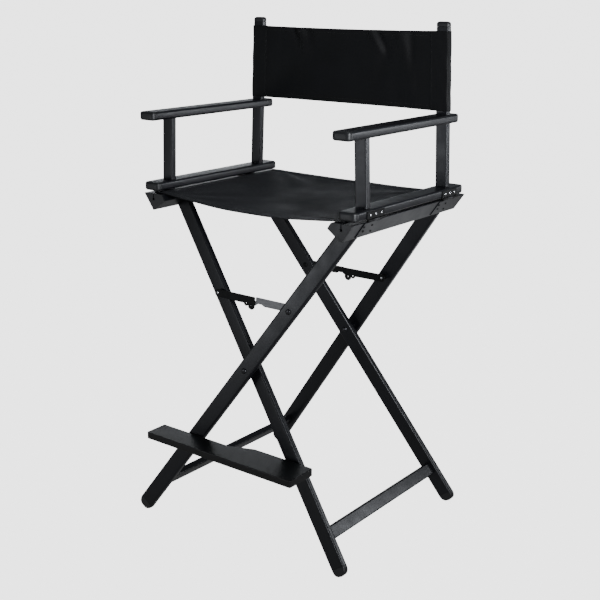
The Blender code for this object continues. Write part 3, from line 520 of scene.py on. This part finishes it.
def seat_height(x, v):
    """Height of the cloth's middle: sag, corner pull lines, ripples and the doubled hems."""
    reach = np.clip(np.abs(x) / FLAT_X, 0, 1)
    # an overall sag, a part that deepens to the front, and a part deepest half way back
    sag = 0.0018 + 0.0137 * (1 - v) ** 1.3 + 0.0075 * np.sin(math.pi * v)
    z = SEAT_TOP - sag * (1 - reach ** 1.9)
    free = smoothstep((FLAT_X - np.abs(x)) / 0.05)
    for corner_x, corner_v, amount, middle in PULL_LINES:
        off_x = x - corner_x * FLAT_X
        off_y = (v - corner_v) * SEAT_DEPTH
        distance = np.sqrt(off_x ** 2 + off_y ** 2) + 1e-6
        angle = np.arctan2(np.abs(off_y), np.abs(off_x))
        # 13 radians of wave per radian of fan, fading with distance and angle
        z = z + (free * amount * np.sin(angle * 13)
                 * np.exp(-((distance - 0.12) / 0.085) ** 2)
                 * np.exp(-((angle - middle) / 0.45) ** 2))
    z = z + free * 0.0009 * ripple(x, SEAT_FRONT + v * SEAT_DEPTH, seed=5)
    edge = min(v, 1 - v) * SEAT_DEPTH
    return z + 0.0007 * (1 - smoothstep((edge - SEAT_HEM) / HEM_FADE))


def make_seat():
    # columns of (x, z); a z of None is left to seat_height
    columns = [(SLOT_X - inset, z) for inset, z in SLOT_PATH]
    columns += [(x, None) for x in np.linspace(SLOT_X - 0.0060, 0.0, 84)]
    columns += [(-x, z) for x, z in reversed(columns[:-1])]
    # rows are closer together in the front and back hems
    rows = np.concatenate([
        np.linspace(0, 0.045, 9)[:-1], np.linspace(0.045, 0.955, 58)[:-1],
        np.linspace(0.955, 1, 9),
    ])
    points = np.zeros((len(rows), len(columns), 3))
    for r, v in enumerate(rows):
        for c, (x, z) in enumerate(columns):
            points[r, c] = (x, seat_y(x, v), seat_height(x, v) if z is None else z)
    uv = np.zeros((len(rows), len(columns), 2))
    uv[:, :, 0] = travelled(points[30])[None, :]
    uv[:, :, 1] = points[:, :, 1]
    seat = cloth_piece("seat_cloth", points, uv, SEAT_THICK)
    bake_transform(seat)
    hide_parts("seat_canvas")


def sew_seat():
    """Two rows of stitches along the front hem and two along the back."""
    lines = []
    for inset in (0.0140, 0.0030):
        for v in (inset / SEAT_DEPTH, 1 - inset / SEAT_DEPTH):
            line = [(x, seat_y(x, v), seat_height(x, v) + SEAT_THICK / 2)
                    for x in np.linspace(-0.236, 0.236, 160)]
            lines.append((line, (0, 0, 1)))
    thread = stitch_piece("seat_stitching", lines)
    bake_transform(thread)


make_seat()
sew_seat()

# ------------------------------------------------------------------- back canvas
BACK_Z0, BACK_Z1 = 0.9690, 1.1400
CLOTH = 0.0010
POST_GAP, LAYER_GAP = 0.0004, 0.0001
# y of the cloth's middle: front of the sleeve, the panel behind it, and the lap behind that
FRONT_Y = POST_MID_Y - POST_T / 2 - POST_GAP - CLOTH / 2
PANEL_Y = FRONT_Y + CLOTH + LAYER_GAP
LAP_Y = PANEL_Y + CLOTH + LAYER_GAP
SLEEVE_HALF_W = POST_W / 2 + POST_GAP + CLOTH / 2
SLEEVE_HALF_T = POST_T / 2 + POST_GAP + CLOTH / 2
SLEEVE_CORNER = 0.0040
FLAP = 0.0125  # width of the sleeve's flaps over the panel
STITCH_INSET = 0.0030
PANEL_CLEAR = 0.0016  # from the post's inner face to the panel's edge
PANEL_HEM, HEM_STEP = 0.0120, 0.0005
PANEL_SEAM = 0.0098
PANEL_FREE_X = 0.214  # no folds outside this
back_rows = np.linspace(BACK_Z0, BACK_Z1, 44)


def edge_drop(x, z):
    """Change in z that makes the top edge sag and the bottom edge rise between the posts."""
    t = (z - BACK_Z0) / (BACK_Z1 - BACK_Z0)
    across = 1 - np.clip(np.abs(x) / 0.245, 0, 1) ** 2
    return -0.0022 * across * t + 0.0010 * across * (1 - t)


def sleeve_path():
    """Loop round a post as (outwards, backwards) offsets from its centre.

    It runs along the front flap, the front, the outer side and the back, and ends as a lap
    behind the panel.
    """
    w, t, r = SLEEVE_HALF_W, SLEEVE_HALF_T, SLEEVE_CORNER
    turn = [math.radians(a) for a in (22, 45, 68, 90)]
    lap = LAP_Y - POST_MID_Y
    lap_start = 0.0070
    path = [(-w - FLAP + i * FLAP / 8, -t) for i in range(8)]
    path += [(-w + i * (2 * w - r) / 6, -t) for i in range(7)]
    path += [(w - r + r * math.sin(a), -t + r - r * math.cos(a)) for a in turn]
    path += [(w, -t + r + i * (2 * t - 2 * r) / 4) for i in range(1, 5)]
    path += [(w - r + r * math.cos(a), t - r + r * math.sin(a)) for a in turn]
    path += [(w - r - i * (2 * w - 2 * r) / 6, t) for i in range(1, 7)]
    # round the inner back corner and forwards to the lap
    path += [
        (-w + r - 0.0030, t - 0.0006), (-w + 0.0002, t - 0.0030), (-w - 0.0012, t - 0.0068),
        (-w - 0.0030, lap + 0.0030), (-w - 0.0050, lap + 0.0012),
    ]
    path += [(-w - lap_start - i * (FLAP - lap_start) / 5, lap) for i in range(6)]
    return path


def make_sleeve(side, tag, body, uv_start):
    path = sleeve_path()
    travel = travelled(path)
    points = np.zeros((len(back_rows), len(path), 3))
    uv = np.zeros((len(back_rows), len(path), 2))
    for r, z in enumerate(back_rows):
        for c, (x, y) in enumerate(path):
            post_side_x = side * (post_x(z) + x)
            # the cloth puffs away from the post, less on its inner side, not at all on the flaps
            puff = (0.0005 * math.sin(z * 95 + c * 0.9 + side)
                    * (0.4 + 0.6 * math.sin(z * 41 + c * 0.31) ** 2))
            looseness = 1.0 if x > -POST_W / 2 else 0.25
            round_post = x > -POST_W / 2 - 0.002
            out = Vector((x, y)).normalized() if round_post else Vector((0, 0))
            points[r, c] = (post_side_x + side * out.x * puff * looseness,
                            POST_MID_Y + y + out.y * puff * looseness,
                            z + edge_drop(post_side_x, z))
            uv[r, c] = (travel[c] + uv_start, z)
    sleeve = cloth_piece(f"back_sleeve_{tag}", points, uv, CLOTH)
    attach(sleeve, body)

    lines = []
    for y, normal in ((FRONT_Y - CLOTH / 2, (0, -1, 0)), (LAP_Y + CLOTH / 2, (0, 1, 0))):
        line = [(side * (post_x(z) - SLEEVE_HALF_W - FLAP + STITCH_INSET), y,
                 z + edge_drop(post_x(z) - 0.04, z))
                for z in np.linspace(BACK_Z0 + 0.002, BACK_Z1 - 0.002, 60)]
        lines.append((line, normal))
    thread = stitch_piece(f"sleeve_stitching_{tag}", lines)
    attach(thread, body)
    return sleeve


sleeve_right = make_sleeve(1, "right", "right_arm", uv_start=0.9)
make_sleeve(-1, "left", "left_arm", uv_start=0.2)
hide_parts("back_canvas")

# folds in the panel: x at the start, lean (dx/dz, its sign reversed where the strongest point
# is in the lower half), width, depth (+ backwards), strongest height (0 bottom to 1 top), reach
FOLDS = (
    (-0.150, -0.38, 0.0100, 0.0050, 1.0, 0.30),
    (-0.132, -0.38, 0.0110, -0.0046, 1.0, 0.34),
    (-0.110, -0.62, 0.0115, 0.0046, 0.98, 0.20),
    (-0.186, 0.10, 0.0130, 0.0040, 1.0, 0.60),
    (0.020, 0.05, 0.0150, 0.0020, 1.0, 0.30),
    (0.072, -0.55, 0.0090, -0.0040, 0.92, 0.20),
    (0.088, -0.55, 0.0100, 0.0062, 0.90, 0.24),
    (0.150, -0.30, 0.0140, -0.0050, 0.95, 0.50),
    (0.182, -0.15, 0.0110, 0.0052, 0.90, 0.60),
    (0.198, 0.05, 0.0080, -0.0034, 0.55, 0.45),
    (0.128, 0.30, 0.0160, 0.0034, 0.70, 0.40),
    (-0.070, -0.40, 0.0200, 0.0022, 0.2, 0.40),
    (0.080, 0.5, 0.0220, 0.0024, 0.15, 0.35),
)


def panel_relief(x, z):
    """Soft hanging folds of the panel, towards the back where positive."""
    t = (z - BACK_Z0) / (BACK_Z1 - BACK_Z0)
    free = smoothstep((PANEL_FREE_X - np.abs(x)) / 0.05)
    relief = np.zeros_like(x)
    for start_x, lean, width, depth, strongest, reach in FOLDS:
        centre = start_x + lean * (z - BACK_Z1) * (1 if strongest > 0.5 else -1)
        along = np.exp(-((t - strongest) / reach) ** 2)
        relief = relief + depth * along * np.exp(-((x - centre) / width) ** 2)
    relief = relief + 0.0019 * ripple(x, z * 0.7, seed=11)
    belly = 0.0030 * (1 - (x / PANEL_FREE_X) ** 2) * np.sin(math.pi * t)
    return free * (relief + belly)


def panel_reach(z):
    """Half the panel's width at height z."""
    return post_x(z) - POST_W / 2 - PANEL_CLEAR


def hang_on_arm(obj):
    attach(obj, "right_arm")
    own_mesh(obj)


def make_panel():
    cols = 150
    points = np.zeros((len(back_rows), cols, 3))
    uv = np.zeros((len(back_rows), cols, 2))
    for r, z in enumerate(back_rows):
        reach = panel_reach(z)
        row_x = np.linspace(-reach, reach, cols)
        edge = min(z - BACK_Z0, BACK_Z1 - z)
        hem = HEM_STEP * (1 - smoothstep((edge - PANEL_HEM) / HEM_FADE))
        between_flaps = np.abs(row_x) < reach - FLAP - 0.001
        points[r, :, 0] = row_x
        points[r, :, 1] = PANEL_Y + panel_relief(row_x, z) - hem * between_flaps
        points[r, :, 2] = z + edge_drop(row_x, z)
        uv[r, :, 0] = row_x
        uv[r, :, 1] = z
    hang_on_arm(cloth_piece("back_panel", points, uv, CLOTH))


def sew_panel():
    """Stitches along the bottom and top hems, on the front and back of the cloth."""
    lines = []
    for z in (BACK_Z0 + PANEL_SEAM, BACK_Z1 - PANEL_SEAM):
        reach = post_x(z) - POST_W / 2 - FLAP - 0.0030
        row_x = np.linspace(-reach, reach, 170)
        hem_y = PANEL_Y + panel_relief(row_x, z) - HEM_STEP
        for facing in (-1, 1):
            line = np.column_stack([row_x, hem_y + facing * CLOTH / 2, z + edge_drop(row_x, z)])
            lines.append((line, (0, facing, 0)))
    hang_on_arm(stitch_piece("panel_stitching", lines))


make_panel()
sew_panel()


# --------------------------------------------------------- screw and rivet heads
HEAD_RINGS, HEAD_SIDES = 7, 24
HEAD_TWIST = 0.3  # radians the head's sides are turned by
HEAD_SKIRT = 0.0004  # depth of the head's foot below its seat
# cross recess: radius and half-width in head radii, depth in head heights
RECESS_RADIUS, RECESS_HALF_W, RECESS_DEPTH = 0.62, 0.16, 0.55


def dome_rings(radius, height, recess):
    """Rings of a dome from its rim up, then its tip, with the cross recess pressed in."""
    rings = []
    for i in range(HEAD_RINGS):
        rise = math.radians(90 * i / HEAD_RINGS)
        r, h = radius * math.cos(rise), height * math.sin(rise)
        ring = []
        for k in range(HEAD_SIDES):
            angle = 2 * math.pi * k / HEAD_SIDES + HEAD_TWIST
            square = angle - HEAD_TWIST
            off_arm = min(abs(math.cos(square)), abs(math.sin(square))) * r
            sunk = recess and r < radius * RECESS_RADIUS and off_arm < radius * RECESS_HALF_W
            z = h - height * RECESS_DEPTH if sunk else h
            ring.append((r * math.cos(angle), r * math.sin(angle), z))
        rings.append(ring)
    rings.append([(0.0, 0.0, height - (height * RECESS_DEPTH if recess else 0))])
    return rings


def add_heads(name, places, radius, height, material, body, recess=False):
    """Domed heads riding on a body. Each place is (centre, outward direction)."""
    rings = dome_rings(radius, height, recess)
    rings.append([(x, y, -HEAD_SKIRT) for x, y, _ in rings[0]])
    bm = bmesh.new()
    for centre, out in places:
        turn = Vector(out).normalized().to_track_quat("Z", "Y").to_matrix().to_4x4()
        move = Matrix.Translation(Vector(centre)) @ turn
        *dome, tip, skirt = [[bm.verts.new(move @ Vector(p)) for p in ring] for ring in rings]
        levels = [skirt, *dome]
        for k in range(HEAD_SIDES):
            n = (k + 1) % HEAD_SIDES
            for low, high in zip(levels, levels[1:]):
                bm.faces.new((low[k], low[n], high[n], high[k]))
            bm.faces.new((dome[-1][k], dome[-1][n], tip[0]))
        bm.faces.new(list(reversed(skirt)))
    mesh = bpy.data.meshes.new(name)
    bm.to_mesh(mesh)
    bm.free()
    obj = add_object(name, mesh, material)
    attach(obj, body)


HINGE_Y = 0.147  # hinges in front of and behind MID_Y
SCREW_PITCH, SCREW_Z = 0.0200, 0.7912
SCREW_X = POST_LOW_X + 0.0225 + 0.0003 + 0.0015 + 0.0006
# lower hinge leaves tilt; LEAF_X, LEAF_Z is the origin of the tilted plane
LEAF_TILT = math.radians(35.62)
LEAF_X, LEAF_Z = 0.2632, 0.7385
LEAF_OUT = 0.0003 + 0.0015 + 0.0007
# leaf rivets: y from the hinge's middle, distance up the leaf
LEAF_RIVETS = ((-0.02500, 0.0350), (0.00375, 0.0350), (-0.01875, 0.0225), (0.01375, 0.0160))

tilt_cos, tilt_sin = math.cos(LEAF_TILT), math.sin(LEAF_TILT)
for side, tag, side_frame in ((1, "right", "frame_a"), (-1, "left", "frame_b")):
    screws = [
        ((side * SCREW_X, MID_Y + y + k * SCREW_PITCH, SCREW_Z), (side, 0, 0))
        for y in (-HINGE_Y, HINGE_Y) for k in (-1, 0, 1)
    ]
    add_heads(f"hinge_screws_{tag}", screws, radius=0.0029, height=0.0016, material=BRIGHT,
              body=f"{tag}_arm", recess=True)
    rivets = [
        ((side * (LEAF_X + tilt_cos * LEAF_OUT + tilt_sin * up_leaf), MID_Y + y + shift,
          LEAF_Z - tilt_sin * LEAF_OUT + tilt_cos * up_leaf),
         (side * tilt_cos, 0, -tilt_sin))
        for y in (-HINGE_Y, HINGE_Y) for shift, up_leaf in LEAF_RIVETS
    ]
    add_heads(f"leaf_rivets_{tag}", rivets, radius=0.0024, height=0.0010,
              material=BLACK_STEEL, body=side_frame)

# forward-facing brace rivets: kind, corner, side in x, y, radius, height, material, slot
BRACE_X, BRACE_Z = 0.1101, 0.5604
for kind, corner, side, y, radius, height, material, slot in (
    ("end", "front_left", -1, -0.1595, 0.0032, 0.0010, BRIGHT, "grey_steel"),
    ("end", "rear_right", 1, 0.1816, 0.0032, 0.0010, BRIGHT, "grey_steel"),
    ("dome", "front_right", 1, -0.1806, 0.0064, 0.0024, DARK_STEEL, "black_steel"),
):
    add_heads(f"brace_rivet_{kind}_{corner}", [((side * BRACE_X, y, BRACE_Z), (0, -1, 0))],
              radius, height, material, body=f"link_{corner}")

# --------------------------------------------------------------------- the stage
FLOOR_Z, FLOOR_HALF = -0.0003, 30


def floor_material():
    """Grey to the light, white to the camera, and a faint glow in reflections."""
    s = Shader("stage_floor")
    s.tree.nodes.remove(s.bsdf)
    s.tree.nodes.remove(s.tree.nodes["Texture Coordinate"])
    diffuse = s.node("ShaderNodeBsdfDiffuse", {"Color": (0.17, 0.17, 0.17)}).outputs[0]
    ray = s.node("ShaderNodeLightPath").outputs
    glow = s.node("ShaderNodeEmission", {"Strength": 3.1}).outputs[0]
    seen = s.node("ShaderNodeAddShader", {0: diffuse, 1: glow}).outputs[0]
    reflected = s.math("MULTIPLY", ray["Is Glossy Ray"], 0.20)
    sheen = s.node("ShaderNodeEmission", {"Strength": reflected}).outputs[0]
    dull = s.node("ShaderNodeAddShader", {0: diffuse, 1: sheen}).outputs[0]
    mix = s.node("ShaderNodeMixShader", {0: ray["Is Camera Ray"], 1: dull, 2: seen})
    feed(s.tree, s.tree.nodes["Material Output"].inputs["Surface"], mix.outputs[0])
    return s.material


def make_floor():
    """A wide floor that follows the height of a foot of frame_a as the chair folds."""
    half = FLOOR_HALF
    mesh = bpy.data.meshes.new("floor")
    corners = [(-half, -half, 0), (half, -half, 0), (half, half, 0), (-half, half, 0)]
    mesh.from_pydata(corners, [], [(0, 1, 2, 3)])
    floor = bpy.data.objects.new("floor", mesh)
    bpy.context.scene.collection.objects.link(floor)
    floor.location = (0, 0, FLOOR_Z)
    mesh.materials.append(floor_material())
    contact = bpy.data.objects.new("floor_contact", None)
    bpy.context.scene.collection.objects.link(contact)
    contact.parent = frame["bodies"]["frame_a"]
    contact.location = (-0.2755, -0.2413, FLOOR_Z)
    follow = floor.constraints.new("COPY_LOCATION")
    follow.target = contact
    follow.use_x = follow.use_y = False


def make_world():
    """White to the camera, a dim cool ambient to everything else."""
    world = bpy.data.worlds.new("studio")
    bpy.context.scene.world = world
    world.use_nodes = True
    tree = world.node_tree
    tree.nodes.clear()
    seen = add_node(tree, "ShaderNodeBackground", {"Color": (1, 1, 1), "Strength": 3.12})
    ambient = add_node(tree, "ShaderNodeBackground",
                       {"Color": (0.86, 0.93, 1), "Strength": 0.17})
    ray = add_node(tree, "ShaderNodeLightPath")
    mix = add_node(tree, "ShaderNodeMixShader", {
        0: ray.outputs["Is Camera Ray"], 1: ambient.outputs[0], 2: seen.outputs[0],
    })
    add_node(tree, "ShaderNodeOutputWorld", {"Surface": mix.outputs[0]})


make_floor()
make_world()

# softboxes: name, direction from target, target, distance, width, height, watts, spread degrees
SOFTBOXES = (
    ("key", (0.82, -0.50, 0.16), (0.25, 0, 1.02), 1.5, 0.40, 0.9, 6.2, 70),
    ("edge", (0.78, -0.60, 0.0), (0, 0, 0.36), 2.6, 0.8, 0.7, 13, 180),
    ("rim", (0.75, 0.66, 0.02), (0, 0, 0.92), 2.85, 0.65, 0.5, 2.6, 60),
    ("top", (0.05, 0.10, 1.0), (0, 0, 0.65), 3.2, 2.2, 2.2, 13, 180),
    ("front_left", (-0.48, -0.877, 0.0), (0, 0, 0.36), 3.13, 0.9, 0.6, 3.4, 120),
    ("back_left", (-0.60, 0.75, 0.12), (-0.2, -0.25, 0.56), 3.4, 1.6, 0.5, 2.4, 110),
    ("bounce", (0.0, 0.0, -1.0), (0.30, 0.95, 0.75), 0.70, 0.5, 0.5, 1.1, 120),
)
for name, direction, target, distance, width, height, watts, spread in SOFTBOXES:
    lamp = bpy.data.lights.new(name, "AREA")
    lamp.shape = "RECTANGLE"
    lamp.size, lamp.size_y = width, height
    lamp.energy = watts
    lamp.color = (0.93, 0.96, 1.0)
    lamp.spread = math.radians(spread)
    softbox = bpy.data.objects.new(name, lamp)
    bpy.context.scene.collection.objects.link(softbox)
    away = Vector(direction).normalized()
    softbox.location = Vector(target) + away * distance
    softbox.rotation_mode = "QUATERNION"
    softbox.rotation_quaternion = away.to_track_quat("Z", "Y")
    softbox.visible_camera = False

# -------------------------------------------------------------------- the camera
CAMERA_PLACE = (1.4617, -1.8938, 1.2239)
FOCAL_LENGTH, SENSOR_WIDTH = 63.858, 36  # millimetres
# heading turned from +Y towards -X, downward tilt, and roll
HEADING, TILT, ROLL = math.radians(37.588), math.radians(16.252), math.radians(0.2945)


def make_camera():
    ahead = Vector((-math.sin(HEADING) * math.cos(TILT),
                    math.cos(HEADING) * math.cos(TILT), -math.sin(TILT)))
    level = Vector((math.cos(HEADING), math.sin(HEADING), 0))
    upright = level.cross(ahead)
    right = level * math.cos(ROLL) + upright * math.sin(ROLL)
    up = upright * math.cos(ROLL) - level * math.sin(ROLL)
    data = bpy.data.cameras.new("camera")
    data.sensor_width = SENSOR_WIDTH
    data.lens = FOCAL_LENGTH
    data.clip_start, data.clip_end = 0.05, 100
    camera = bpy.data.objects.new("camera", data)
    bpy.context.scene.collection.objects.link(camera)
    rotation = Matrix((right, up, -ahead)).transposed()
    camera.matrix_world = Matrix.Translation(CAMERA_PLACE) @ rotation.to_4x4()
    bpy.context.scene.camera = camera


make_camera()

# ------------------------------------------------------------------------- update
bpy.context.view_layer.update()
